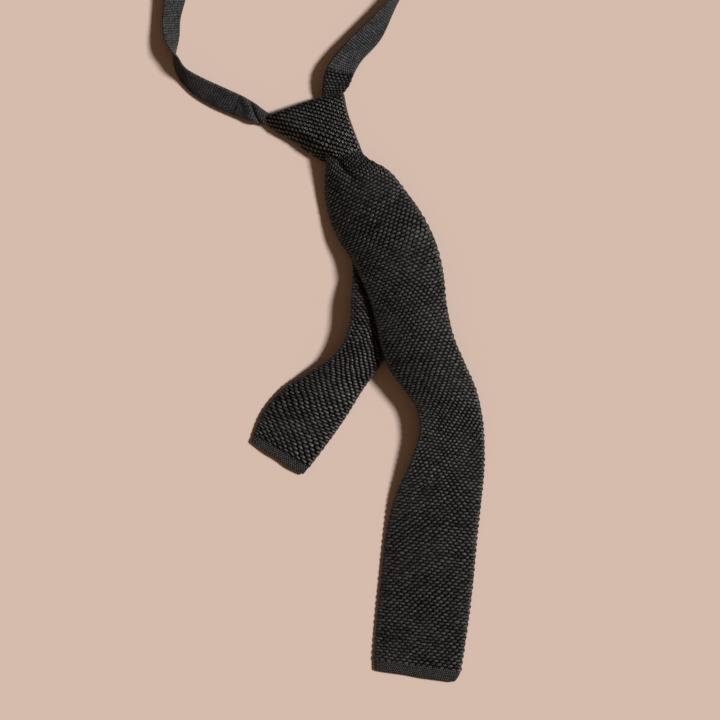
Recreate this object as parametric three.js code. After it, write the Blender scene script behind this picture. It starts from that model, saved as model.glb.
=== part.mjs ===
// A knitted tie, tied in a four-in-hand knot and laid flat. Millimetres, +Z up, +Y towards the neck loop.
// The origin lies on the supporting surface under the knot. The blades run towards -Y.
import * as THREE from 'three';

const { clamp } = THREE.MathUtils;

// ---------- driving dimensions (mm) ----------
const CLOTH = 2.5; // a knitted strip is a flattened tube: two plies pressed together
const NECK_CLOTH = 2.0; // the finer knit of the neck band
const GAP = 0.3; // clearance between pieces that touch
const SURFACE = 0; // height of the surface that the tie lies on

const BLADE_STEPS = 46;
const TAIL_STEPS = 34;
const NECK_STEPS = 34;
const CROSS_STEPS = 8;

const BLADE_HEM = 8; // length of the ribbed end band of the wide blade
const TAIL_HEM = 7;
const KEEPER_CLEAR = 4.6; // room between the keeper loop and the blade
const KEEPER_CLOTH = 1.2;
const TACK_CLOTH = 0.8;
const LABEL_CLOTH = 0.6;

// ---------- places on the strips: shares of a strip's length, or of its half width ----------
const KEEPER_FROM = 0.675;
const KEEPER_TO = 0.705;
const KEEPER_REACH = 0.84;
const KEEPER_FLANGE_INNER = 0.735; // the sewn ends of the keeper loop lie outside this
const KEEPER_RISE = 0.105; // over which the loop leaves the blade
const TACK_INNER = 0.79;
const LABEL_FROM = 0.5;
const LABEL_TO = 0.6;
const LABEL_REACH = 0.45;
const JOIN_AT = 0.58; // the centre-back join of the neck band
const JOIN_HALF = 0.003;

// ---------- colours and materials ----------
const KNIT = { color: 0x1d1d1e, roughness: 0.85, metalness: 0 };
const RIB = { color: 0x212122, roughness: 0.85, metalness: 0 };
const FINE_KNIT = { color: 0x2b2c2f, roughness: 0.8, metalness: 0 };
const THREAD = { color: 0x151515, roughness: 0.6, metalness: 0 };
const LABEL = { color: 0x26262a, roughness: 0.55, metalness: 0 };

// ---------- routes, chosen by hand ----------
// Each station is [left edge], [right edge], height of the middle, seen from above and going away
// from the knot.
const BLADE_ROUTE = [
  [[5, -26, 12.4], [30, -22, 12.4], 12.6],
  [[3, -39, 8], [48, -32, 10], 11.5],
  [[5, -57, 7.5], [61, -47, 8.5], 11.5],
  [[12, -76, 9.5], [71, -62, 8.5], 15],
  [[21, -92, 11], [80, -81, 9], 18],
  [[31, -110, 14.5], [85, -101, 9.5], 17],
  [[38, -130, 15], [87, -121, 9.5], 17.5],
  [[42, -149, 15], [92, -144, 9], 19.5],
  [[48, -166, 15], [100, -163, 8], 20],
  [[59, -181, 14], [107, -181, 6], 18],
  [[67, -193, 13], [111, -200, 4], 17],
  [[69, -209, 12], [112, -217, 3], 16],
  [[63, -231, 9], [112, -237, 2.5], 13],
  [[54, -253, 5], [110, -259, 2], 8],
  [[47, -278, 3], [107, -285, 2], 5.5],
  [[43, -310, 2], [105, -317, 2], 4],
  [[40, -341, 1.6], [101, -348, 1.6], 3],
  [[38, -371, 1.6], [96, -380, 1.6], 2],
];
const TAIL_ROUTE = [
  [[12, -28, 3.9], [36, -26, 3.9], 3.9],
  [[14, -55, 2.6], [45, -53, 2.6], 3],
  [[18, -76, 3], [51, -74, 3], 3.6],
  [[23, -95, 5], [57, -93, 5], 5.6],
  [[22, -118, 8.5], [57, -119, 8.5], 9],
  [[21, -138, 9], [53, -144, 8], 10],
  [[13, -157, 8], [44, -164, 6], 9.5],
  [[-4, -170, 5], [30, -179, 3], 8],
  [[-23, -181, 2.5], [17, -199, 2], 5],
  [[-38, -195, 1.6], [6, -214, 1.6], 3],
  [[-46, -215, 1.6], [-11, -237, 1.6], 2],
];
// The neck band leans: each station is [bottom edge], [top edge], from the knot's left corner all the
// way round to the knot's top right.
const NECK_ROUTE = [
  [[-54, 6, 5.4], [-49, 17, 9.5]],
  [[-72, 13, 2.2], [-65, 26, 7.5]],
  [[-87, 22, 1.6], [-81, 34, 9.5]],
  [[-95, 32, 0.6], [-91, 39, 15]],
  [[-100, 46, 0.5], [-95, 46, 16.5]],
  [[-105, 58, 0.9], [-95, 61, 13]],
  [[-106, 72, 1.2], [-95, 73, 12]],
  [[-104, 85, 1.4], [-91, 87, 10]],
  [[-103, 109, 0.9], [-94, 110, 13]],
  [[-95, 140, 0.7], [-89, 138, 14.5]],
  [[-78, 171, 0.6], [-74, 166, 15.5]],
  [[-46, 194, 0.6], [-45, 188, 15.5]],
  [[-9, 203, 0.6], [-9, 196, 15.5]],
  [[30, 194, 0.6], [27, 188, 15.5]],
  [[59, 173, 0.6], [55, 168, 15.5]],
  [[75, 145, 0.6], [69, 144, 15.5]],
  [[75, 117, 0.5], [70, 118, 16]],
  [[61, 95, 0.4], [59, 97, 17]],
  [[50, 85, 0.4], [52, 84, 17]],
  [[32, 68, 3], [42, 59, 12.5]],
  [[16, 52, 7], [28, 44, 12]],
  [[6, 41, 9], [23, 37, 11.5]],
];
const LEFT_ROOT_ROUTE = [
  [[-41, 2.5, 5.5], [-38.5, 10, 7]],
  [[-48, 4, 4.2], [-43, 13, 6.4]],
  [[-57, 7.5, 1.9], [-52, 18, 5.4]],
];
const RIGHT_ROOT_ROUTE = [
  [[3, 27, 6.6], [18, 24, 6.8]],
  [[4, 32, 6.2], [21, 29, 7.2]],
  [[5, 38, 5.2], [22, 35, 7]],
];
// The narrow strand lies flat between the knot's passes.
const STRAND_HEIGHT = 2 * (CLOTH + GAP) + CLOTH / 2;
const STRAND_ROUTE = [
  [[4, 20.5, STRAND_HEIGHT], [18, 18.5, STRAND_HEIGHT]],
  [[9, 0, STRAND_HEIGHT], [26, -3, STRAND_HEIGHT]],
  [[12, -38, STRAND_HEIGHT], [36, -36, STRAND_HEIGHT]],
];

// ---------- strips of cloth ----------
function curveThrough(points) {
  return new THREE.CatmullRomCurve3(points.map((p) => new THREE.Vector3(...p)), false, 'centripetal');
}

// A cloth surface over a route: t runs along it (0 to 1, evenly from station to station) and v
// across it (-1 to 1).
function clothSurface(route) {
  const left = curveThrough(route.map((station) => station[0]));
  const right = curveThrough(route.map((station) => station[1]));
  const rises = route.map(([a, b, middle]) => (middle === undefined ? 0 : middle - (a[2] + b[2]) / 2));
  const rise = curveThrough(rises.map((height, i) => [i, 0, height]));
  const at = (t, v) => {
    const point = left.getPoint(t).lerp(right.getPoint(t), (v + 1) / 2);
    point.z += rise.getPoint(t).z * (1 - v * v);
    return point;
  };
  return (t, v, height = 0) => {
    const step = 0.004;
    const along = at(Math.min(t + step, 1), v).sub(at(Math.max(t - step, 0), v));
    const across = at(t, Math.min(v + step, 1)).sub(at(t, Math.max(v - step, -1)));
    const normal = along.cross(across).normalize();
    return at(t, v).addScaledVector(normal, height);
  };
}

// The share of a route's t that a length takes up in the last interval between two stations.
function shareOfEnd(route, length) {
  const [last, before] = [route.at(-1)[0], route.at(-2)[0]].map((p) => new THREE.Vector3(...p));
  return length / last.distanceTo(before) / (route.length - 1);
}

// The closed solid between two heights of a cloth surface, over part of its length and width.
function strip(surface, options) {
  const { from = 0, to = 1, thickness = CLOTH, steps, cross = CROSS_STEPS, low = -1, high = 1 } = options;
  const heightAt = options.heightAt ?? (() => 0);
  const positions = [];
  for (let i = 0; i <= steps; i += 1) {
    const t = from + ((to - from) * i) / steps;
    for (const side of [1, -1]) {
      for (let j = 0; j <= cross; j += 1) {
        const v = low + ((high - low) * (side > 0 ? j : cross - j)) / cross;
        const p = surface(t, v, heightAt(v) + (side * thickness) / 2);
        positions.push(p.x, p.y, p.z);
      }
    }
  }
  const ring = 2 * (cross + 1);
  const indices = [];
  const quad = (a, b, c, d) => indices.push(a, b, c, a, c, d);
  for (let i = 0; i < steps; i += 1) {
    for (let j = 0; j < ring; j += 1) {
      const next = (j + 1) % ring;
      quad(i * ring + j, (i + 1) * ring + j, (i + 1) * ring + next, i * ring + next);
    }
  }
  for (let j = 0; j < cross; j += 1) {
    const end = steps * ring;
    quad(j, j + 1, ring - 2 - j, ring - 1 - j);
    quad(end + j, end + ring - 1 - j, end + ring - 2 - j, end + j + 1);
  }
  const geometry = new THREE.BufferGeometry();
  geometry.setAttribute('position', new THREE.Float32BufferAttribute(positions, 3));
  geometry.setIndex(indices);
  geometry.computeVertexNormals();
  return geometry;
}

// ---------- slabs of the knot ----------
function slab(outline, bottom, thickness, bevel = 0) {
  const shape = new THREE.Shape(outline.map(([x, y]) => new THREE.Vector2(x, y)));
  const geometry = new THREE.ExtrudeGeometry(shape, {
    depth: thickness - 2 * bevel,
    bevelEnabled: bevel > 0,
    bevelThickness: bevel,
    bevelSize: bevel,
    bevelOffset: -bevel,
    bevelSegments: 2,
  });
  geometry.translate(0, 0, bottom + bevel);
  return geometry;
}

const group = new THREE.Group();

function add(name, geometry, look) {
  const mesh = new THREE.Mesh(geometry, new THREE.MeshStandardMaterial(look));
  mesh.name = name;
  group.add(mesh);
  return mesh;
}

// ---------- the knot: five passes of the wide end, from the back to the front ----------
const LAYER = CLOTH + GAP;
const KNOT_FACE = [
  [-37.5, 1], [-36, 6], [-12, 13], [4, 18], [17.5, 22], [18.5, 10], [23, -4], [30, -20.5],
  [16, -22.5], [4.8, -24], [-3, -19], [-15, -11], [-26, -4],
];
const BACK_WRAP = [
  [-34, 2], [-33, 5.5], [-12, 11.5], [16, 20], [21, -4], [28, -18.5], [5, -21], [-12, -9.5],
];
const RISER = [[-20, 7], [14, 18.5], [22, -14], [4, -18], [-8, -8]];
const CROSS_OVER = [[-36, 2], [-34, 5.5], [-12, 12], [16, 19], [21, -4], [24, -14], [2, -16], [-12, -8]];
const PULL_THROUGH = [[-16, 9.5], [15, 19], [21, -4], [29.5, -20.5], [5, -23.5], [-6, -10]];

function buildKnot() {
  add('knot_riser', slab(RISER, SURFACE, CLOTH), KNIT);
  add('knot_back_wrap', slab(BACK_WRAP, LAYER, CLOTH), KNIT);
  add('knot_cross_over', slab(CROSS_OVER, 3 * LAYER, CLOTH), KNIT);
  add('knot_pull_through', slab(PULL_THROUGH, 4 * LAYER, CLOTH), KNIT);
  add('knot_front_wrap', slab(KNOT_FACE, 5 * LAYER, 1.5 * CLOTH, 1.2), KNIT);
}

// ---------- the wide blade, its hem and its keeper loop ----------
function buildFrontBlade() {
  const surface = clothSurface(BLADE_ROUTE);
  const hem = shareOfEnd(BLADE_ROUTE, BLADE_HEM);
  const joint = shareOfEnd(BLADE_ROUTE, GAP);
  add('front_blade', strip(surface, { to: 1 - hem - joint, steps: BLADE_STEPS }), KNIT);
  add('front_hem', strip(surface, { from: 1 - hem, steps: 2 }), RIB);
  buildKeeper(surface);
}

// The keeper loop is sewn to the back of the blade at its two ends and stands off it in between.
function buildKeeper(surface) {
  const flush = -(CLOTH / 2 + 2 * GAP + KEEPER_CLOTH / 2);
  const risen = (v) => clamp((KEEPER_FLANGE_INNER - Math.abs(v)) / KEEPER_RISE, 0, 1);
  const heightAt = (v) => flush - KEEPER_CLEAR * risen(v);
  const band = { from: KEEPER_FROM, to: KEEPER_TO, steps: 2, thickness: KEEPER_CLOTH };
  const loop = { ...band, cross: 16, low: -KEEPER_REACH, high: KEEPER_REACH, heightAt };
  add('keeper_loop', strip(surface, loop), KNIT);
  const below = flush - KEEPER_CLOTH / 2 - GAP - TACK_CLOTH / 2;
  const tack = { ...band, cross: 2, thickness: TACK_CLOTH, heightAt: () => below };
  add('keeper_tack_left', strip(surface, { ...tack, low: -KEEPER_REACH, high: -TACK_INNER }), THREAD);
  add('keeper_tack_right', strip(surface, { ...tack, low: TACK_INNER, high: KEEPER_REACH }), THREAD);
}

// ---------- the narrow end ----------
function buildTail() {
  add('tail_strand', strip(clothSurface(STRAND_ROUTE), { steps: 8 }), KNIT);
  const surface = clothSurface(TAIL_ROUTE);
  const hem = shareOfEnd(TAIL_ROUTE, TAIL_HEM);
  const joint = shareOfEnd(TAIL_ROUTE, GAP);
  add('tail_blade', strip(surface, { to: 1 - hem - joint, steps: TAIL_STEPS }), KNIT);
  add('tail_hem', strip(surface, { from: 1 - hem, steps: 2 }), RIB);
  const label = {
    from: LABEL_FROM, to: LABEL_TO, steps: 4, cross: 4, low: -LABEL_REACH, high: LABEL_REACH,
    thickness: LABEL_CLOTH, heightAt: () => -(CLOTH / 2 + GAP + LABEL_CLOTH / 2),
  };
  add('plain_label', strip(surface, label), LABEL);
}

// ---------- the neck band and its roots at the knot ----------
function buildNeck() {
  const root = { steps: 6, thickness: NECK_CLOTH };
  add('neck_root_left', strip(clothSurface(LEFT_ROOT_ROUTE), root), FINE_KNIT);
  add('neck_root_right', strip(clothSurface(RIGHT_ROOT_ROUTE), root), KNIT);
  const surface = clothSurface(NECK_ROUTE);
  const band = { steps: NECK_STEPS, cross: 3, thickness: NECK_CLOTH };
  add('neck_band_left', strip(surface, { ...band, to: JOIN_AT - JOIN_HALF }), FINE_KNIT);
  add('neck_band_right', strip(surface, { ...band, from: JOIN_AT + JOIN_HALF }), FINE_KNIT);
  const seamHalf = 0.8 * JOIN_HALF;
  const seam = { from: JOIN_AT - seamHalf, to: JOIN_AT + seamHalf, steps: 1, cross: 3 };
  add('neck_join_seam', strip(surface, { ...seam, thickness: NECK_CLOTH + 0.8 }), THREAD);
}

buildKnot();
buildFrontBlade();
buildTail();
buildNeck();

export default group;
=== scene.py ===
"""A black knitted tie with square ends, tied in a four-in-hand knot and laid flat.

Every cloth strip is a flattened knitted tube that follows listed stations, in millimetres.
In plan the blades' stations are close to part.mjs's. The heights were fitted later, to the shadows
in the photograph. The stitches are real geometry: a grid aligned to the rows and columns of
stitches, raised into staggered loops.
"""

import math

import bpy
import numpy as np
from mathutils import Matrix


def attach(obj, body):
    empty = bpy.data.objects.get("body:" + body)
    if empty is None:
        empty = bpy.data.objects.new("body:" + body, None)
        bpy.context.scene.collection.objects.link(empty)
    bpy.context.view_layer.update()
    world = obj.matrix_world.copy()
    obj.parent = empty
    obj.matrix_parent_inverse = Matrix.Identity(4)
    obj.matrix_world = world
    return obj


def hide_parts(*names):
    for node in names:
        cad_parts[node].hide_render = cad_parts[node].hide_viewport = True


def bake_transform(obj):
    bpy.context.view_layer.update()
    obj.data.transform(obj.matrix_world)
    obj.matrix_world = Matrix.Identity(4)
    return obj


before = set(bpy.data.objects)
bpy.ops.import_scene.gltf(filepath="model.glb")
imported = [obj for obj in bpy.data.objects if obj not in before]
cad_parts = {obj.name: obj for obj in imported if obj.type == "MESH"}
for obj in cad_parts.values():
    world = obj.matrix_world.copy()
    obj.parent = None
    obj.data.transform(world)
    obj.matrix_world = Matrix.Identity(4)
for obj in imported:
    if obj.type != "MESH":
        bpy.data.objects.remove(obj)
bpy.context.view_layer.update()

MM = 0.001
SEED = 11

# ---------- cloth sizes, in millimetres ----------
CLOTH = 2.5  # thickness of a flattened blade
NECK_CLOTH = 2.0
BLADE_WIDTH = 62.0
TAIL_WIDTH = 40.0
NECK_WIDTH = 17.0
ROW = 2.13  # height of a row of the coarse knit
STITCH = 4.2  # width of a stitch of the coarse knit
LOOP_HEIGHT = 0.56  # half a loop's height, in rows
RELIEF = 0.62  # from the bottom of a hole to the top of a stitch
BLADE_HEM = 8.0
TAIL_HEM = 7.0
RIB = 1.55  # width of a rib of the hem
ROWS_PER_SEED = 40  # how much further on each seed's pattern starts, so that no two pieces are alike
FIRST_STITCH = 200  # keeps every stitch's number above zero

# ---------- the camera and the light ----------
VIEW_CENTRE = (0.0286, -0.1602)
VIEW_WIDTH = 0.4908
VIEW_LEVEL = 0.008  # the height at which the picture is VIEW_WIDTH wide
CAMERA_HEIGHT = 3.2
SENSOR = 36.0
SUN_BEARING = math.radians(12)  # from +X towards +Y
SUN_ELEVATION = math.radians(39)
SUN_SIZE = math.radians(11)  # a wide sun, for the soft edges of the shadows
SUN_STRENGTH = 4.6
SUN_COLOR = (1.0, 0.97, 0.94)
SKY_COLOR = (1.0, 0.62, 0.38, 1)  # warm, like the light in the photograph's shadows
SKY_STRENGTH = 0.14
FLOOR_COLOR = (0.634, 0.511, 0.453, 1)
FLOOR_HALF = 6.0
FLOOR_LEVEL = -0.0002

# ---------- routes: [left edge], [right edge], height of the middle ----------
# A height of None leaves the strip straight from edge to edge.
BLADE_ROUTE = [
    ([3, -10, 8.7], [25, -6, 8.7], 8.7),
    ([5.5, -26, 8.6], [31.5, -20.5, 8.9], 9.6),
    ([4.4, -39, 6.2], [48.2, -30.8, 8.6], 10.2),
    ([6.0, -56.5, 4.6], [61, -46.4, 8.5], 11),
    ([12.8, -76, 6.8], [71.5, -61.5, 9.5], 13.5),
    ([22.5, -91.5, 9.5], [80.5, -80.5, 10], 15.5),
    ([31.5, -110, 14.5], [85.5, -101, 11], 16.5),
    ([38, -130, 15], [87.5, -121, 11.5], 17),
    ([42, -149, 14.5], [92.5, -144, 11], 17.5),
    ([48, -166, 13], [100.5, -163, 10.5], 17),
    ([59, -181, 12.2], [108, -180.5, 8.5], 14),
    ([67, -193, 11.6], [112.2, -199.5, 6.5], 10.5),
    ([69, -209, 11.0], [113.6, -217, 4.5], 7.4),
    ([62.4, -231, 8.6], [113.4, -237, 3], 5.6),
    ([52.8, -253, 4.6], [111.2, -259, 2.2], 3.8),
    ([46.6, -278, 1.9], [108.4, -285, 1.8], 2.8),
    ([42.9, -310, 1.6], [105.4, -317, 1.6], 2.4),
    ([39.8, -341, 1.5], [101.4, -348, 1.5], 2.2),
    ([37.6, -372.3, 1.5], [96.3, -381.0, 1.5], 1.8),
]
TAIL_ROUTE = [
    ([1, 15, 4.7], [14, 13, 4.7], 4.7),
    ([4, 0, 4.6], [19, -3, 4.6], 4.6),
    ([8, -14, 3.7], [25, -15, 3.7], 3.7),
    ([12, -30, 2.3], [36, -28, 2.5], 2.4),
    ([14, -55, 1.7], [45, -53, 1.9], 2.0),
    ([18, -76, 2.8], [51, -74, 2.8], 3.4),
    ([23.4, -95, 7.0], [57, -93, 5], 6.8),
    ([22.4, -118, 11.2], [57, -119, 8.0], 10.0),
    ([21, -138, 11.6], [53, -144, 7.2], 10.2),
    ([12, -155.5, 10.2], [42.9, -163.2, 5.4], 9.2),
    ([-6, -168, 6.2], [31, -180, 3.5], 8),
    ([-23.8, -179.6, 3], [18.4, -200.2, 2.2], 5),
    ([-37.6, -195.4, 1.8], [7.6, -215.6, 1.8], 3),
    ([-46.1, -216.3, 1.6], [-10.8, -239.9, 1.6], 2),
]
# The neck band: [edge on the table], [raised edge], from inside the knot's left corner round to its top
# right. It stands on edge at two places and leans outwards between them.
NECK_ROUTE = [
    ([-30, 0.5, 3.0], [-29, 6, 3.6], None),
    ([-38, 0.5, 3.2], [-36, 9.8, 5.2], None),
    ([-47, 3, 3.2], [-43, 15, 6.8], None),
    ([-57, 6.6, 2.4], [-51, 19.6, 7.6], None),
    ([-72, 13, 1.8], [-65, 26, 8], None),
    ([-86.6, 22.2, 1.2], [-81, 33.4, 9], None),
    ([-95, 32, 0.1], [-91, 39.4, 11.5], None),
    ([-98.8, 43, -0.2], [-95.2, 45.6, 12], None),
    ([-97.6, 49.5, -0.2], [-99.6, 50.5, 12], None),
    ([-94.8, 60, -0.1], [-104.8, 58.5, 9.2], None),
    ([-94.0, 73, 0.0], [-106.2, 72, 7.2], None),
    ([-90.4, 87, -0.1], [-104.6, 86, 7.8], None),
    ([-88, 112, -0.2], [-100.5, 114, 11], None),
    ([-83, 138, -0.2], [-93, 143, 13.5], None),
    ([-71, 163, -0.2], [-79, 171, 14], None),
    ([-44, 185, -0.2], [-47, 195, 14.5], None),
    ([-9, 193, -0.2], [-9, 203, 15], None),
    ([26, 185, -0.2], [30, 195, 14.5], None),
    ([53, 165, -0.2], [60, 172, 14], None),
    ([68, 141, -0.2], [76, 145, 14], None),
    ([69.5, 118, -0.2], [75.6, 118, 13], None),
    ([62.4, 99.5, -0.2], [61.0, 97.5, 13], None),
    ([54.4, 84, 0.6], [49.6, 85.4, 11.0], None),
    ([42.8, 58.6, 1.6], [31.6, 68.4, 9.4], None),
    ([29.4, 43.4, 3.2], [15.6, 52.4, 9.2], None),
    ([24.4, 34.6, 4.6], [5.8, 39.2, 8.6], None),
    ([20.8, 26, 4.9], [3, 27, 7.0], None),
    ([15, 19, 4.9], [3, 21, 5.4], None),
    ([13, 11, 4.6], [3, 12, 4.8], None),
]


# ---------- curves ----------
def spline(points, t):
    """Centripetal Catmull-Rom curve through points, with t running evenly from point to point."""
    p = np.asarray(points, float)
    ends = (2 * p[0] - p[1], 2 * p[-1] - p[-2])
    q = np.vstack([ends[0], p, ends[1]])
    x = np.clip(t, 0, 1) * (len(p) - 1)
    i = np.minimum(x.astype(int), len(p) - 2)
    w = (x - i)[:, None]
    p0, p1, p2, p3 = (q[i + k] for k in range(4))
    gap = [np.maximum(np.linalg.norm(b - a, axis=1) ** 0.5, 1e-4)[:, None]
           for a, b in ((p0, p1), (p1, p2), (p2, p3))]
    m1 = gap[1] * ((p1 - p0) / gap[0] - (p2 - p0) / (gap[0] + gap[1]) + (p2 - p1) / gap[1])
    m2 = gap[1] * ((p2 - p1) / gap[1] - (p3 - p1) / (gap[1] + gap[2]) + (p3 - p2) / gap[2])
    w2, w3 = w * w, w * w * w
    return ((2 * w3 - 3 * w2 + 1) * p1 + (w3 - 2 * w2 + w) * m1
            + (3 * w2 - 2 * w3) * p2 + (w3 - w2) * m2)


def smooth(values, reach):
    """Running average of rows, weighted by a bell of that reach, with the ends kept."""
    k = np.exp(-np.linspace(-2, 2, 2 * reach + 1) ** 2)
    k /= k.sum()
    n = len(values)
    before = 2 * values[0] - values[1 : reach + 1][::-1]
    after = 2 * values[-1] - values[n - reach - 1 : n - 1][::-1]
    wide = np.concatenate([before, values, after])
    return np.stack([np.convolve(wide[:, c], k, "valid") for c in range(values.shape[1])], axis=1)


def ease(x):
    """A smooth step from 0 at x = 0 to 1 at x = 1."""
    x = np.clip(x, 0, 1)
    return x * x * (3 - 2 * x)


def bell(x):
    """1 at x = 0, falling away smoothly to 0 on both sides."""
    return np.exp(-(x**2))


def rounded(x):
    """A quarter circle from 0 at x = 0 to 1 at x = 1, and 1 from there on."""
    return np.sqrt(np.clip(1 - np.clip(1 - x, 0, 1) ** 2, 0, 1))


class Cloth:
    """The middle surface of a strip. s is the distance along its centre, in millimetres, and v runs
    across it from -1 to 1. reach is how many samples each way the smoothing takes in, and ripple(s, v)
    is added to the height."""

    def __init__(self, route, samples=1600, reach=24, ripple=None):
        t = np.linspace(0, 1, samples)
        left = spline([r[0] for r in route], t)
        right = spline([r[1] for r in route], t)
        rise = [0 if r[2] is None else r[2] - (r[0][2] + r[1][2]) / 2 for r in route]
        rise = spline([[i, 0, h] for i, h in enumerate(rise)], t)[:, 2:]
        middle = (left + right) / 2 + np.hstack([0 * rise, 0 * rise, rise])
        s = np.concatenate([[0], np.cumsum(np.linalg.norm(np.diff(middle, axis=0), axis=1))])
        self.length = s[-1]
        self.s = np.linspace(0, self.length, samples)
        table = np.hstack([left, right, rise])
        even = np.stack([np.interp(self.s, s, table[:, c]) for c in range(7)], axis=1)
        self.table = smooth(even, reach)
        self.ripple = ripple

    def at(self, s, v):
        """Points for arrays s and v of one shape."""
        c = [np.interp(s, self.s, self.table[:, k]) for k in range(7)]
        w = (v + 1) / 2
        x, y, z = (c[k] * (1 - w) + c[k + 3] * w for k in range(3))
        z = z + c[6] * (1 - v * v)
        if self.ripple:
            z = z + self.ripple(s, v)
        return np.stack([x, y, z], axis=-1)

    def frame(self, s, v):
        """Points, unit normals (up) and unit cross directions."""
        ds, dv = 0.4, 0.01
        p = self.at(s, v)
        along = self.at(np.minimum(s + ds, self.length), v) - self.at(np.maximum(s - ds, 0), v)
        across = self.at(s, np.minimum(v + dv, 1)) - self.at(s, np.maximum(v - dv, -1))
        n = np.cross(along, across)
        n /= np.linalg.norm(n, axis=-1, keepdims=True)
        across /= np.linalg.norm(across, axis=-1, keepdims=True)
        return p, n, across


# ---------- knit patterns ----------
def soft_noise(x, y, seed, reach):
    """Smooth noise between about -1 and 1: a few plane waves with random directions."""
    rng = np.random.default_rng(seed)
    total = np.zeros(np.broadcast(x, y).shape)
    for _ in range(7):
        angle, phase = rng.uniform(0, 2 * np.pi, 2)
        pitch = reach * rng.uniform(0.7, 1.7)
        total += np.sin((x * np.cos(angle) + y * np.sin(angle)) * 2 * np.pi / pitch + phase)
    return total / 3.0


class Stitches:
    """Rows of oval loops, each row moved by half a stitch. It gives the places of a cloth's points in
    rows and stitches, which the mesh stores for the material, and the height of the loops there.

    wobble is how far the loops stray, in millimetres, lean how much they slant, fade the v beyond which
    they run together at the strip's edges, and skew(along) how much the rows slant across the strip."""

    def __init__(self, seed, row=ROW, stitch=STITCH, wobble=0.27, lean=0.12, fade=0.88, skew=None):
        self.seed, self.row, self.stitch = seed, row, stitch
        self.wobble, self.lean, self.fade, self.skew = wobble, lean, fade, skew

    def places(self, along, across, v):
        drift = self.wobble * (soft_noise(along, across, self.seed, 14)
                               + 0.6 * soft_noise(along, across, self.seed + 5, 5))
        sway = self.wobble * (soft_noise(along, across, self.seed + 1, 9)
                              + 0.6 * soft_noise(along, across, self.seed + 6, 6))
        edge = np.clip((np.abs(v) - self.fade) / (1 - self.fade), 0, 1)
        if self.skew:
            drift = drift + self.skew(along) * across
        return {
            "row": (along + drift) / self.row + ROWS_PER_SEED * self.seed,
            "stitch": (across + sway) / self.stitch + FIRST_STITCH,
            "edge": edge + 0 * along,
            "run": 0.55 + 0.05 * soft_noise(along, across, self.seed + 2, 30),
            "lean": self.lean + 0.14 * soft_noise(along, across, self.seed + 3, 60),
        }

    def height(self, at):
        rng = np.random.default_rng(self.seed)
        rows, stitches = 256, 64
        taller = rng.uniform(-1, 1, (rows, stitches))
        best = np.zeros(at["row"].shape)
        for step in (-1, 0, 1):
            r = np.floor(at["row"]) + step
            d = at["stitch"] - 0.5 * (r % 2)
            c = np.floor(d + 0.5)
            d = (d - c) * (1 - at["edge"])
            a = at["row"] - r - 0.5 + at["lean"] * d
            dome = 1 - (d / at["run"]) ** 2 - (a / LOOP_HEIGHT) ** 2
            lift = taller[r.astype(int) % rows, c.astype(int) % stitches]
            best = np.maximum(best, np.sqrt(np.clip(dome, 0, 1)) * (1 + 0.24 * lift))
        return best


class Ribs:
    """Fine ribs along a hem, each a column of small loops."""

    def __init__(self, seed, rib=RIB):
        self.seed, self.rib = seed, rib

    def places(self, along, across, v):
        sway = 0.12 * soft_noise(along, across, self.seed, 6)
        zero = 0 * along + 0 * across
        return {
            "row": along / (0.8 * self.rib) + ROWS_PER_SEED * self.seed,
            "stitch": (across + sway) / self.rib + FIRST_STITCH,
            "edge": zero,
            "run": zero + 0.5,
            "lean": zero,
        }

    def height(self, at):
        d = at["stitch"] - np.floor(at["stitch"] + 0.5)
        beads = 0.78 + 0.22 * np.cos(2 * np.pi * at["row"])
        return np.sqrt(np.clip(1 - (d / 0.56) ** 2, 0, 1)) * beads


class Plain:
    """A knit too fine for the mesh: only the material shows it."""

    def __init__(self, seed, row=1.7, stitch=1.35):
        self.seed, self.row, self.stitch = seed, row, stitch

    def places(self, along, across, v):
        drift = 0.15 * soft_noise(along, across, self.seed, 7)
        edge = np.clip((np.abs(v) - 0.8) / 0.2, 0, 1)
        return {
            "row": (along + drift) / self.row + ROWS_PER_SEED * self.seed,
            "stitch": across / self.stitch + FIRST_STITCH,
            "edge": edge + 0 * along,
            "run": 0.5 + 0 * along,
            "lean": 0 * along,
        }

    def height(self, at):
        return 0 * at["row"]


# ---------- meshes ----------
def make_mesh(name, points, faces, attributes, material):
    """points are in millimetres. faces is a list of index arrays, each with one face in every row."""
    mesh = bpy.data.meshes.new(name)
    mesh.vertices.add(len(points))
    mesh.vertices.foreach_set("co", (np.asarray(points) * MM).astype(np.float32).ravel())
    corners = np.concatenate([np.asarray(f).ravel() for f in faces]).astype(np.int32)
    sizes = np.concatenate([np.full(len(f), np.shape(f)[1]) for f in faces])
    starts = np.concatenate([[0], np.cumsum(sizes)[:-1]]).astype(np.int32)
    mesh.loops.add(len(corners))
    mesh.loops.foreach_set("vertex_index", corners)
    mesh.polygons.add(len(sizes))
    mesh.polygons.foreach_set("loop_start", starts)
    mesh.update(calc_edges=True)
    mesh.validate()
    mesh.polygons.foreach_set("use_smooth", np.ones(len(mesh.polygons), bool))
    for key, values in attributes.items():
        layer = mesh.attributes.new(key, "FLOAT", "POINT")
        layer.data.foreach_set("value", np.asarray(values, np.float32).ravel())
    mesh.materials.append(material)
    piece = bpy.data.objects.new(name, mesh)
    bpy.context.collection.objects.link(piece)
    return piece


def ring_faces(rings, around, closed_along=False):
    """Quads between rings of points, as an (n, 4) array."""
    last = rings if closed_along else rings - 1
    i, j = np.meshgrid(np.arange(last), np.arange(around), indexing="ij")
    k = (j + 1) % around
    n = (i + 1) % rings
    return np.stack([i * around + j, n * around + j, n * around + k, i * around + k], -1).reshape(-1, 4)


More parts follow.
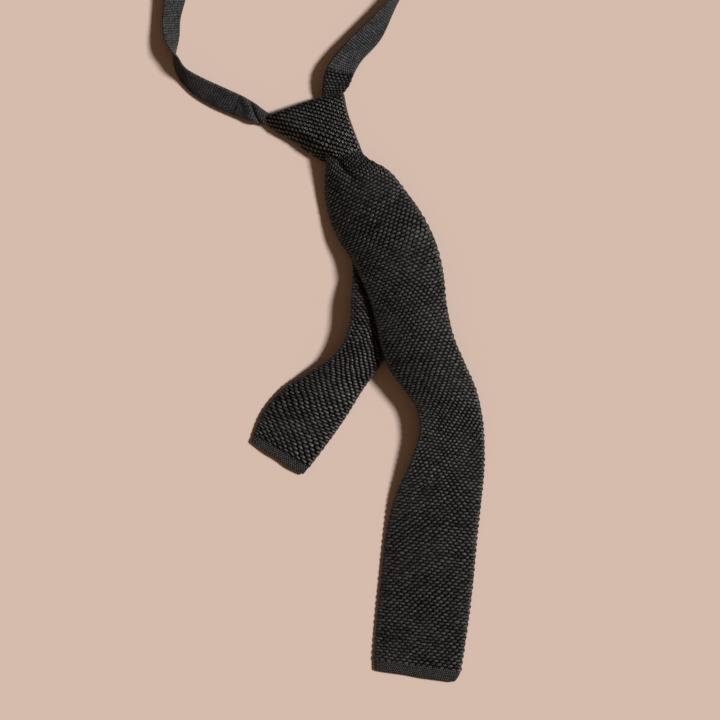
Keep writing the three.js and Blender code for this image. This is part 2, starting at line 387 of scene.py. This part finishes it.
def tube(name, cloth, start, end, material, width, knit, thickness=CLOTH, step=ROW / 4, top=95,
         under=42, relief=RELIEF, under_relief=0.5, edge_power=8, scallop=0.0, end_shape=None,
         lane=(0.0, 1.0), lift=None, slack=None):
    """A flattened knitted tube along a cloth surface, between two distances along it.

    top and under are its points across, and step is the distance between its rings. relief is the height
    of its loops, and under_relief the share of it that the underside has. edge_power is how square its
    sides are and scallop how far the rows stand out at them. end_shape gives a closed end's share of
    thickness, its shift sideways and how far it is drawn up. lane is the middle and half of the part of
    the surface's width that the tube covers, lift how far it stands off the surface, and slack the
    share of its thickness that it has along its length."""
    rows = max(2, int(round((end - start) / step)))
    s = start + (np.arange(rows) + 0.5) * (end - start) / rows
    v_top = np.linspace(-1, 1, top + 1)
    v_under = np.linspace(1, -1, under + 1)[1:-1]
    v = np.concatenate([v_top, v_under])
    side = np.concatenate([np.ones(top + 1), -np.ones(under - 1)])
    ss, vv = np.meshgrid(s, v, indexing="ij")
    taper, moved, drawn = end_shape(end - ss, vv) if end_shape else (np.ones_like(ss), 0 * ss, 0 * ss)
    p, n, across = cloth.frame(ss - drawn, lane[0] + vv * lane[1])
    p = p + across * moved[..., None]
    if lift:
        p = p + n * lift(ss, vv)[..., None]
    body = np.sqrt(np.clip(1 - np.abs(vv) ** edge_power, 0, 1))
    x = vv * width / 2
    under_shift = 1.2  # the underside's stitches don't lie under the top's
    places = knit.places(ss, x + np.where(side > 0, 0, under_shift), vv)
    height = knit.height(places)
    full = slack(ss) if slack else 1.0
    rise = (thickness * full / 2 - relief / 2) * body * taper
    depth = np.where(side > 0, 1.0, under_relief) * relief
    rise = rise + depth * (height - 0.4) * body * np.minimum(1, 3 * taper)
    q = p + n * (side * rise)[..., None]
    if scallop:
        beat = places["row"] / 2
        rng = np.random.default_rng(knit.seed)
        beats = 97
        size = np.interp(beat % beats, np.arange(beats + 1), rng.uniform(0.3, 1.3, beats + 1))
        wave = np.abs(np.cos(np.pi * beat)) - 0.6
        q = q + across * (np.sign(vv) * scallop * size * wave * np.abs(vv) ** 24)[..., None]
    around = len(v)
    ring = np.arange(around)
    faces = [ring_faces(rows, around), ring[None, :], (ring + (rows - 1) * around)[None, ::-1]]
    return make_mesh(name, q.reshape(-1, 3), faces, places, material)


# ---------- materials ----------
def node_maker(material):
    tree = material.node_tree
    tree.nodes.clear()

    def node(kind, inputs=(), **settings):
        made = tree.nodes.new(kind)
        for key, value in settings.items():
            setattr(made, key, value)
        for key, value in dict(inputs).items():
            if isinstance(value, Wire):
                value = value.socket
            if isinstance(value, bpy.types.NodeSocket):
                tree.links.new(value, made.inputs[key])
            else:
                made.inputs[key].default_value = value
        return made

    return node


class Wire:
    """The number at a shader node's output, with ordinary arithmetic."""

    def __init__(self, node, socket):
        self.node, self.socket = node, socket

    def math(self, operation, *others):
        inputs = dict(enumerate((self, *others)))
        made = self.node("ShaderNodeMath", inputs, operation=operation)
        return Wire(self.node, made.outputs[0])

    def __add__(self, other):
        return self.math("ADD", other)

    def __sub__(self, other):
        return self.math("SUBTRACT", other)

    def __mul__(self, other):
        return self.math("MULTIPLY", other)

    def mix(self, other, share):
        return self + (other - self) * share


def attribute(node, key):
    return Wire(node, node("ShaderNodeAttribute", attribute_name=key).outputs["Fac"])


def vector(node, x, y):
    return node("ShaderNodeCombineXYZ", {0: x, 1: y}).outputs[0]


def noise(node, place, scale, detail=3.0, roughness=0.5):
    inputs = {"Vector": place, "Scale": scale, "Detail": detail, "Roughness": roughness}
    return Wire(node, node("ShaderNodeTexNoise", inputs).outputs["Fac"])


def loop_nodes(node, row, stitch, edge, run, lean, r):
    """One row's loop at a point: its dome, its two local directions and a random number."""
    d = stitch - r.math("MODULO", 2.0) * 0.5
    c = (d + 0.5).math("FLOOR")
    flat = edge * -1.0 + 1.0
    d = (d - c) * flat
    a = row - r - 0.5 + lean * d
    over = d.math("DIVIDE", run)
    dome = over * over * -1.0 + 1.0 - (a * a) * (1 / LOOP_HEIGHT**2)
    chance = node("ShaderNodeTexWhiteNoise", {"Vector": vector(node, c, r)}, noise_dimensions="2D")
    return dome, a, d, Wire(node, chance.outputs["Value"])


def knit_material(name, hole_shade, light, gloss=0.5, rough=(0.34, 0.6), sheen=0.06, loop_bump=0.5,
                  contrast=1.0, haze=0.0, mottle=1.0, thin=0.0):
    """Knitted yarn, drawn from the places of the stitches that each mesh stores: painted shade in the
    holes and down the sides of the loops, loops of twisted plies with silky crests, loose fibres and
    slow changes of tone. thin spreads the painted shade further up each loop, so that a smaller crest
    keeps the yarn's own colour, mottle makes the loops' tones less alike, and haze lightens the painted
    shade in the holes."""
    plies, fibre_bump, bump_depth = 2.0, 0.25, 0.0006
    material = bpy.data.materials.new(name)
    material.use_nodes = True
    node = node_maker(material)
    places = ("row", "stitch", "edge", "run", "lean")
    row, stitch, edge, run, lean = (attribute(node, key) for key in places)
    here = row.math("FLOOR")
    step = (row - here - 0.5).math("SIGN")
    dome, a, d, chance = loop_nodes(node, row, stitch, edge, run, lean, here)
    dome2, a2, d2, chance2 = loop_nodes(node, row, stitch, edge, run, lean, here + step)
    second = dome2.math("GREATER_THAN", dome)
    dome, a, d = dome.mix(dome2, second), a.mix(a2, second), d.mix(d2, second)
    chance = chance.mix(chance2, second)
    loop = dome.math("MAXIMUM", 0.0).math("SQRT")
    crest = ((dome - thin) * (1 / (1 - thin))).math("MAXIMUM", 0.0)

    # Plies wind round the yarn, and fibres follow them.
    wind = a * (2 * math.pi * plies) + d * 5.0
    ply = wind.math("SINE") * 0.5 + 0.5
    fibre = noise(node, vector(node, stitch * 2.2 + a * 2.0, row * 9.0), 1.6, 4.0, 0.7)
    cloud = noise(node, vector(node, stitch, row), 0.16, 3.0)
    speck = noise(node, vector(node, stitch, row), 1.1, 2.0)

    tone = ((chance - 0.5) * 0.5 + (cloud - 0.5) * 0.7 + (speck - 0.5) * 1.3) * mottle + 1.0
    # Painted shade: the colour falls from the yarn's own on each loop's crest to the hole colour, which
    # is painted shade, and the ply term paints shade into the grooves between the plies.
    level = crest * tone * contrast + (fibre - 0.5) * 0.55 + (ply - 0.5) * 0.3 * crest + haze
    ramp = node("ShaderNodeValToRGB", {"Fac": level})
    ramp.color_ramp.elements[0].color = (*hole_shade, 1)
    ramp.color_ramp.elements[0].position = 0.12
    ramp.color_ramp.elements[1].color = (*light, 1)
    ramp.color_ramp.elements[1].position = 1.0
    roughness = node("ShaderNodeMapRange", {
        "Value": fibre, "From Min": 0.3, "From Max": 0.7, "To Min": rough[0], "To Max": rough[1]})
    relief = loop * loop_bump + ply * loop * 0.3 + (fibre - 0.5) * fibre_bump
    bump = node("ShaderNodeBump", {"Height": relief, "Strength": 1.0, "Distance": bump_depth})
    shine = (crest * tone * gloss).math("MINIMUM", 1.0)
    shader = node("ShaderNodeBsdfPrincipled", {
        "Base Color": ramp.outputs["Color"], "Roughness": roughness.outputs[0],
        "Normal": bump.outputs[0], "Specular IOR Level": shine, "Sheen Weight": sheen,
        "Sheen Roughness": 0.4, "Sheen Tint": (0.85, 0.86, 0.92, 1)})
    node("ShaderNodeOutputMaterial", {"Surface": shader.outputs[0]})
    return material


# Each knit's first colour is painted shade, for its holes and the lower sides of its loops. The second
# is the yarn's own colour on the loops' crests.
PAINTED_HOLE_SHADE = (0.0022, 0.0022, 0.0022)
KNIT = knit_material(
    "coarse_knit", hole_shade=PAINTED_HOLE_SHADE, light=(0.030, 0.0302, 0.0308), gloss=0.44, rough=(0.3, 0.52),
    loop_bump=0.65, thin=0.08, mottle=1.3)
TIGHT = knit_material(
    "tight_knit", hole_shade=(0.0018, 0.0018, 0.0018), light=(0.0312, 0.0315, 0.0322), gloss=0.66,
    rough=(0.22, 0.4), loop_bump=0.85, thin=0.18)
# A copy of the coarse knit for the neck's gathered right root. Its yarn is the coarse knit's, so its
# darker colour is painted shade.
SHADED_GATHERED_KNIT = knit_material(
    "shaded_gathered_knit", hole_shade=PAINTED_HOLE_SHADE, light=(0.020, 0.0203, 0.0208), gloss=0.28, rough=(0.4, 0.6),
    loop_bump=0.4, mottle=1.4)
THREAD = knit_material(
    "thread", hole_shade=(0.004, 0.004, 0.004), light=(0.03, 0.03, 0.031), gloss=0.6, loop_bump=0.4,
    contrast=0.8, haze=0.1)
LABEL = knit_material(
    "label", hole_shade=(0.01, 0.01, 0.011), light=(0.05, 0.05, 0.054), gloss=0.5, rough=(0.3, 0.45),
    loop_bump=0.2, contrast=0.6, haze=0.2)
RIBBED = knit_material(
    "rib_knit", hole_shade=(0.004, 0.004, 0.004), light=(0.050, 0.051, 0.0535), loop_bump=0.5)
FINE = knit_material(
    "fine_knit", hole_shade=(0.006, 0.0061, 0.0066), light=(0.064, 0.066, 0.073), gloss=0.3,
    rough=(0.45, 0.7), sheen=0.1, loop_bump=0.3, contrast=0.65, haze=0.15, mottle=1.6)


# ---------- the stage ----------
def make_stage():
    camera = bpy.data.cameras.new("camera")
    camera.sensor_width = SENSOR
    camera.lens = SENSOR * CAMERA_HEIGHT / VIEW_WIDTH
    camera.clip_end = 50
    holder = bpy.data.objects.new("camera", camera)
    holder.location = (*VIEW_CENTRE, CAMERA_HEIGHT + VIEW_LEVEL)
    bpy.context.collection.objects.link(holder)
    bpy.context.scene.camera = holder

    mesh = bpy.data.meshes.new("floor")
    signs = ((-1, -1), (1, -1), (1, 1), (-1, 1))
    corners = [(x * FLOOR_HALF, y * FLOOR_HALF, FLOOR_LEVEL) for x, y in signs]
    mesh.from_pydata(corners, [], [(0, 1, 2, 3)])
    floor = bpy.data.objects.new("floor", mesh)
    bpy.context.collection.objects.link(floor)
    material = bpy.data.materials.new("floor")
    material.use_nodes = True
    node = node_maker(material)
    shader = node("ShaderNodeBsdfPrincipled", inputs={
        "Base Color": FLOOR_COLOR, "Roughness": 0.9, "Specular IOR Level": 0.1})
    node("ShaderNodeOutputMaterial", inputs={"Surface": shader.outputs[0]})
    mesh.materials.append(material)

    sun = bpy.data.lights.new("sun", "SUN")
    sun.energy = SUN_STRENGTH
    sun.angle = SUN_SIZE
    sun.color = SUN_COLOR
    lamp = bpy.data.objects.new("sun", sun)
    lamp.rotation_euler = (0, math.pi / 2 - SUN_ELEVATION, SUN_BEARING)
    bpy.context.collection.objects.link(lamp)

    world = bpy.data.worlds.new("studio")
    world.use_nodes = True
    background = world.node_tree.nodes["Background"]
    background.inputs["Color"].default_value = SKY_COLOR
    background.inputs["Strength"].default_value = SKY_STRENGTH
    bpy.context.scene.world = world
    bpy.context.scene.view_settings.view_transform = "Standard"


# ---------- closed ends and tacks ----------
def slim_end(reach):
    """The rounded ends of a thin piece, at its start and at its end."""

    def shape(left, v):
        near = np.minimum(left, left.max() + left.min() - left)
        return np.maximum(rounded(near / reach), 0.05), 0 * v, 0 * v

    return shape


def square_end(reach, tuck_left, tuck_right, wave, seed):
    """The closed end of a hem. Its sides come in by these lengths towards its last row, its corners are
    rounded, and its last row is drawn up unevenly by as much as wave."""
    hem, corner = 7.0, 0.8  # how far up the hem this shows, and how far the corners are drawn up

    def shape(left, v):
        down = np.clip(1 - left / hem, 0, 1)
        moved = down**1.5 * np.abs(v) ** 3 * np.where(v < 0, tuck_left, -tuck_right)
        uneven = wave * (0.5 + 0.5 * soft_noise(v * 10, 0 * v, seed, 9))
        drawn = down * (uneven + corner * np.abs(v) ** 18)
        return np.maximum(rounded(left / reach), 0.02), moved, drawn

    return shape


def bar_tack(name, cloth, s, v, half_length, body, depth):
    """A dense bar of stitches across an edge: a thread wound round and round itself."""
    turns, around = 13, 10  # turns of the thread, and points round the bar
    width, height = 0.9, 0.7
    t = np.linspace(0, 1, turns * 8 + 1)
    angle = np.linspace(0, 2 * np.pi, around, endpoint=False)
    centre, n, across = cloth.frame(np.full(1, s), np.full(1, v))
    along = np.cross(across, n)
    bump = 0.55 + 0.12 * np.abs(np.sin(np.pi * turns * t))
    bump = bump * np.sqrt(np.clip(1 - (2 * t - 1) ** 8, 0.02, 1))
    tt, aa = np.meshgrid(t, angle, indexing="ij")
    radius = np.repeat(bump[:, None], around, axis=1)
    p = (centre + along * ((2 * tt - 1) * half_length)[..., None] - n * depth
         + across * (width * radius * np.cos(aa))[..., None]
         + n * (height * radius * np.sin(aa))[..., None])
    ring = np.arange(around)
    faces = [ring_faces(len(t), around)[:, ::-1], ring[None, ::-1],
             (ring + (len(t) - 1) * around)[None, :]]
    places = {
        "row": tt * turns + ROWS_PER_SEED,
        "stitch": aa + FIRST_STITCH,
        "edge": 1 + 0 * tt,
        "run": 0.6 + 0 * tt,
        "lean": 0.4 + 0 * tt,
    }
    tack = make_mesh(name, p.reshape(-1, 3), faces, places, THREAD)
    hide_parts(name)
    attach(tack, body)


# ---------- the wide blade ----------
MOUTH = 16  # how far along the blade it comes out of the knot
HEM_LAP = 0.5  # how far a blade's coarse knit runs into its hem
HEM_END = 1.1  # over which length a hem's thickness closes at its end
# What the tubes of both hems have in common.
HEM = dict(thickness=2.3, step=0.4, relief=0.35, lane=(0, 0.985))
KEEPER_SPAN = (0.675, 0.705)  # its start and its end, as shares of the blade's length
KEEPER_WIDTH = 50
KEEPER_CLOTH = 1.2
KEEPER_GAP = 0.75  # from the blade's underside to the middle of the keeper's cloth
TACK_PLACE = 0.775  # how far out the two bar tacks are, as v


def blade_ripple(s, v):
    """The pleat at the knot's mouth, a ridge and a groove that run inwards and die out down the blade,
    and a low swell at the blade's right side."""
    out = s - MOUTH
    ridge = 0.9 * bell((v + 0.78 - 0.008 * out) / 0.2)
    groove = (2.1 + 1.1 * ease((s - 15) / 10)) * bell((v + 0.38 - 0.014 * out) / 0.17)
    swell = 1.6 * bell((v - 0.55) / 0.3)
    return (1 - ease(out / 30)) * (ridge - groove) + swell * (1 - ease((s - 10) / 48))


def blade_skew(s):
    """The rows lean as they come out of the knot, and lie straight across further down."""
    return 0.26 * (1 - ease((s - 50) / 80))


def blade_slack(s):
    """The cloth is pulled thin where it comes out of the knot."""
    return 0.75 + 0.25 * ease((s - 28) / 24)


def build_keeper(cloth):
    """The flat loop behind the wide end that holds the tail, and the two bar tacks at its sides."""

    def lift(s, v):
        """It lies below the blade, and its two sides come up towards it."""
        return 0.5 * np.clip((np.abs(v) - 0.9) / 0.1, 0, 1) - (CLOTH / 2 + KEEPER_GAP)

    start, end = (cloth.length * share for share in KEEPER_SPAN)
    keeper = tube("keeper_loop", cloth, start, end, RIBBED, KEEPER_WIDTH, Ribs(3, rib=1.1),
                  thickness=KEEPER_CLOTH, step=0.25, top=150, under=80, relief=0.2, under_relief=1.0,
                  edge_power=20, lane=(0.0, 0.82), end_shape=slim_end(0.5), lift=lift)
    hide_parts("keeper_loop")
    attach(keeper, "wide_end")
    middle, half = (start + end) / 2, (end - start) / 2 + 0.6
    depth = CLOTH / 2 + 1.3
    bar_tack("keeper_tack_left", cloth, middle, -TACK_PLACE, half, "wide_end", depth)
    bar_tack("keeper_tack_right", cloth, middle, TACK_PLACE, half, "wide_end", depth)


def build_blade():
    cloth = Cloth(BLADE_ROUTE, ripple=blade_ripple)
    build_keeper(cloth)
    hem_at = cloth.length - BLADE_HEM
    knit = Stitches(SEED, skew=blade_skew)
    blade = tube("front_blade", cloth, 0, hem_at + HEM_LAP, KNIT, BLADE_WIDTH, knit, scallop=0.9,
                 slack=blade_slack)
    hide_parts("front_blade")
    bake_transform(blade)
    hem = tube("front_hem", cloth, hem_at, cloth.length, RIBBED, BLADE_WIDTH, Ribs(1), top=200,
               under=100, **HEM,
               end_shape=square_end(HEM_END, tuck_left=0.6, tuck_right=2.6, wave=0.5, seed=5))
    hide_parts("front_hem")
    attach(hem, "wide_end")


# ---------- the narrow end ----------
LABEL_SPAN = (0.5, 0.6)  # its start and its end, as shares of the tail's length
LABEL_WIDTH = 18
LABEL_GAP = 0.32  # from the tail's underside to the middle of the label's cloth


def tail_slack(s):
    """The strand inside the knot is squeezed thin, and opens out below it."""
    return 0.54 + 0.46 * ease((s - 38) / 18)


def build_tail():
    cloth = Cloth(TAIL_ROUTE)
    hem_at = cloth.length - TAIL_HEM
    knit = Stitches(SEED + 1, lean=-0.28)
    tail = tube("tail_blade", cloth, 0, hem_at + HEM_LAP, KNIT, TAIL_WIDTH, knit, top=61, under=28,
                scallop=0.6, slack=tail_slack)
    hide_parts("tail_blade", "tail_strand")
    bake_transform(tail)
    hem = tube("tail_hem", cloth, hem_at, cloth.length, RIBBED, TAIL_WIDTH, Ribs(2), top=130,
               under=66, **HEM,
               end_shape=square_end(HEM_END, tuck_left=-0.4, tuck_right=0.2, wave=0.7, seed=8))
    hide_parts("tail_hem")
    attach(hem, "narrow_end")
    start, end = (cloth.length * share for share in LABEL_SPAN)
    label = tube("plain_label", cloth, start, end, LABEL, LABEL_WIDTH, Plain(6, 0.7, 0.6),
                 thickness=0.6, step=0.5, top=40, under=40, relief=0.0, edge_power=24,
                 lane=(0.0, 0.45), end_shape=slim_end(0.3),
                 lift=lambda s, v: np.full_like(s, -(CLOTH / 2 + LABEL_GAP)))
    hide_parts("plain_label")
    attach(label, "narrow_end")


# ---------- the knot ----------
# Its two sides in plan and the height of its face, from its top edge to its mouth.
KNOT_RIGHT = [[17.8, 22.4, 0], [20.0, 10, 0], [24.8, -4, 0], [31, -20, 0]]
KNOT_LEFT = [[-38.5, 3.6, 0], [-30, -3.6, 0], [-17.5, -10.8, 0], [-4, -20.6, 0], [5, -25.6, 0]]
KNOT_CROWN = [10.6, 11.6, 12.0, 11.8]
KNOT_LIP = (1.0, 1.8)  # how far the cloth turns down at its top edge and at its mouth
KNOT_LIP_REACH = (0.1, 0.12)  # and over which share of the way between them
KNOT_BULGE = 2.6  # how far its top edge bows out in the middle
KNOT_MIDDLE = 3.2  # the height at which its sides are widest
KNOT_BACK = 0.6  # the height of its flat back
KNOT_CORNER = 3.0  # how far in the right side turns over into the face
KNOT_SLOPE = 9.5  # and the left side, which slopes to the table
KNOT_BEND = 2.5  # how far the rows of stitches bow across the face
KNOT_RELIEF = 0.95
KNOT_CLOTH = 2.2
KNOT_ROW = 2.3
KNOT_STITCHES = 14  # from its top edge to its mouth
KNOT_LOOP_LEAN = 0.32
# The pass that comes up behind the knot, folds over at its top edge and goes down behind its face.
RISER_ROUTE = [
    ([-8, -10, 3.5], [14, -8, 3.5], None),
    ([-17, -1, 3.5], [8, 6, 3.5], None),
    ([-24, 6.4, 3.5], [1.6, 14.6, 3.5], None),
    ([-25, 9.3, 5.2], [1.0, 17.7, 5.2], None),
    ([-24, 6.4, 7.0], [1.6, 14.6, 7.1], None),
    ([-16, -1, 7.9], [9, 5, 8.0], None),
    ([-7, -8, 8.2], [16, -5, 8.3], None),
    ([1, -12, 8.3], [21, -11, 8.4], None),
]
# The pass that first goes over the narrow strand, from the left corner to the right side.
CROSS_ROUTE = [
    ([-29, 1, 5.6], [-28, 5, 5.6], None),
    ([-10, -8, 6.9], [-8, 8, 6.9], None),
    ([14, -14, 6.9], [12, 10, 6.9], None),
]


def knot_section(turn, reach, above, below):
    """One cross-section of the knot, evenly travelled from the middle of its underside round the right
    side: x from -1 to 1, height from -1 to 1, and the distance from the right side in millimetres."""
    angle = np.linspace(-np.pi / 2, 1.5 * np.pi, 3001)
    x = np.cos(angle)
    right = np.clip((1 - x) * reach / KNOT_CORNER, 0, 1)
    left = np.clip((1 + x) * reach / KNOT_SLOPE, 0, 1)
    face = np.sqrt(1 - (1 - right) ** 2) * (1 - (1 - left) ** 1.2) ** 0.83 * (0.95 + 0.05 * (1 - x * x))
    up = (angle > 0) & (angle < np.pi)
    z = np.where(up, face, -np.sqrt(np.clip(1 - x**8, 0, 1)))
    path = np.hypot(np.diff(x) * reach, np.diff(z) * np.where(up[1:], above, below))
    path = np.concatenate([[0], np.cumsum(path)])
    place = turn * path[-1]
    return np.interp(place, path, x), np.interp(place, path, z), place - np.interp(0, angle, path)


def knot_point(turn, v, inset_at):
    """The wrap round the knot: turn goes once round it and v from its top edge (0) to its mouth (1).
    inset_at(distance, v) is how far in from the outline the surface lies there. It shapes the loops."""
    right = spline(KNOT_RIGHT, v)
    left = spline(KNOT_LEFT, v)
    crown = spline([[h, 0, 0] for h in KNOT_CROWN], v)[:, 0]
    lips = zip(KNOT_LIP, KNOT_LIP_REACH, (v, 1 - v))
    crown -= sum(depth * np.clip(1 - way / reach, 0, 1) ** 2 for depth, reach, way in lips)
    below = KNOT_MIDDLE - KNOT_BACK
    centre, half = (right + left) / 2, (right - left) / 2
    reach = np.linalg.norm(half, axis=1)
    above = crown - KNOT_MIDDLE
    rings = [knot_section(turn, reach[j], above[j], below) for j in range(len(v))]
    x, z, distance = (np.stack([ring[k] for ring in rings], axis=1) for k in range(3))
    inset = inset_at(distance, np.broadcast_to(v, x.shape))
    bow = KNOT_BEND * 4 * v * (1 - v) * (1 - x * x) * np.clip(z, 0, 1) * (0.6 - 0.4 * x)
    points = centre + half * (x * (reach - inset) / reach)[..., None]
    points[..., 0] += 0.6 * bow
    points[..., 1] += KNOT_BULGE * (1 - x**4) * (1 - v) ** 3 + 0.8 * bow
    points[..., 2] = KNOT_MIDDLE + z * (np.where(z > 0, above, below) - inset)
    return points


def build_wrap():
    """The front and the back of the knot: one band of cloth that goes right round it."""
    around, outer, inner = 230, 84, 22  # points round it, and rows on its outside and its inside
    turn = np.arange(around) / around
    v = np.concatenate([np.linspace(0, 1, outer + 1), np.linspace(1, 0, inner + 1)[1:-1]])
    side = np.concatenate([np.ones(outer + 1), np.zeros(inner - 1)])
    knit = Stitches(SEED + 2, wobble=0.12, fade=0.95)
    places = {}

    def inset(distance, vv):
        """How far in the surface lies. Near the right side the loops are flatter."""
        places.update(knit.places(distance * ROW / KNOT_ROW, vv * KNOT_STITCHES * STITCH, 2 * vv - 1))
        places["run"] = 0.48 - 0.04 * ease((distance - 4) / 14) + 0.08 * ease((distance - 30) / 12)
        places["lean"] = np.full_like(vv, KNOT_LOOP_LEAN)
        mid = KNOT_CLOTH / 2
        edge = np.sqrt(np.clip(1 - np.abs(2 * vv - 1) ** 14, 0, 1))
        relief = KNOT_RELIEF * (0.2 + 0.8 * ease((distance - 4) / 20))
        raised = mid + relief * (knit.height(places) - 0.6)
        return np.where(side > 0, mid - raised * edge, mid + mid * edge)

    q = knot_point(turn, v, inset)
    faces = [ring_faces(around, len(v), closed_along=True)[:, ::-1]]
    wrap = make_mesh("knot_front_wrap", q.reshape(-1, 3), faces, places, TIGHT)
    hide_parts("knot_front_wrap", "knot_back_wrap")
    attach(wrap, "knot")


def build_knot():
    build_wrap()
    over = Cloth(RISER_ROUTE, reach=16)
    riser = tube("knot_pull_through", over, 0, over.length, KNIT, 30, Stitches(SEED + 3),
                 thickness=1.6, top=50, under=40, relief=0.4, under_relief=1.0)
    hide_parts("knot_pull_through", "knot_riser")
    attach(riser, "knot")
    cross = Cloth(CROSS_ROUTE)
    over_strand = tube("knot_cross_over", cross, 0, cross.length, KNIT, 28, Stitches(SEED + 4),
                       thickness=1.0, top=45, under=22, relief=0.25)
    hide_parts("knot_cross_over")
    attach(over_strand, "knot")


# ---------- the neck band ----------
LEFT_ROOT_X = -54  # where the band leaves its left root
RIGHT_ROOT_Y = 36  # and where it comes to its right root
ROOT_LAP = 2.0  # how far a root runs into the band
JOIN_PLACE = 0.58  # the centre-back join, as a share of the band's length
JOIN_HALF = 1.3
# What the tubes of the fine knit have in common.
NECK = dict(top=26, under=20, relief=0.0, edge_power=5, step=0.9, thickness=NECK_CLOTH)


def neck_ripple(s, v):
    """The pinched fold where the band enters the knot's left corner, and slow twists along the band."""
    fold = bell((s - 15 - 6 * v) / 2.0) - 0.6 * bell((s - 20 - 6 * v) / 3.0)
    slow = np.sin(s / 13.0 + 1.2 * v) * np.sin(s / 31.0)
    return -1.5 * fold + 0.35 * slow * (1 - v * v)


def build_neck():
    cloth = Cloth(NECK_ROUTE, reach=14, ripple=neck_ripple)
    x = (cloth.table[:, 0] + cloth.table[:, 3]) / 2
    y = (cloth.table[:, 1] + cloth.table[:, 4]) / 2
    left_end = cloth.s[np.argmax(x < LEFT_ROOT_X)]
    half_way = len(y) // 2
    right_start = cloth.s[half_way + np.argmax(y[half_way:] < RIGHT_ROOT_Y)]
    left = tube("neck_root_left", cloth, 0, left_end + ROOT_LAP, FINE, NECK_WIDTH, Plain(4), **NECK)
    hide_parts("neck_root_left")
    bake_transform(left)
    knit = Stitches(SEED + 5, row=2.0, stitch=2.5)
    right = tube("neck_root_right", cloth, right_start - ROOT_LAP, cloth.length, SHADED_GATHERED_KNIT, NECK_WIDTH,
                 knit, thickness=2.3, top=36, under=36, scallop=0.5, relief=0.4, under_relief=1.0,
                 step=0.5)
    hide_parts("neck_root_right")
    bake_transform(right)
    band = tube("neck_band", cloth, left_end, right_start, FINE, NECK_WIDTH, Plain(4), **NECK)
    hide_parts("neck_band_left", "neck_band_right")
    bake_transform(band)
    join = left_end + JOIN_PLACE * (right_start - left_end)
    seam = tube("neck_join_seam", cloth, join - JOIN_HALF, join + JOIN_HALF, THREAD, NECK_WIDTH,
                Ribs(5, rib=0.8), step=0.2, top=90, under=90, thickness=NECK_CLOTH + 0.5, relief=0.25,
                under_relief=1.0, edge_power=6, lane=(0.0, 1.02), end_shape=slim_end(0.8))
    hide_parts("neck_join_seam")
    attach(seam, "neck_band")


make_stage()
build_blade()
build_tail()
build_knot()
build_neck()
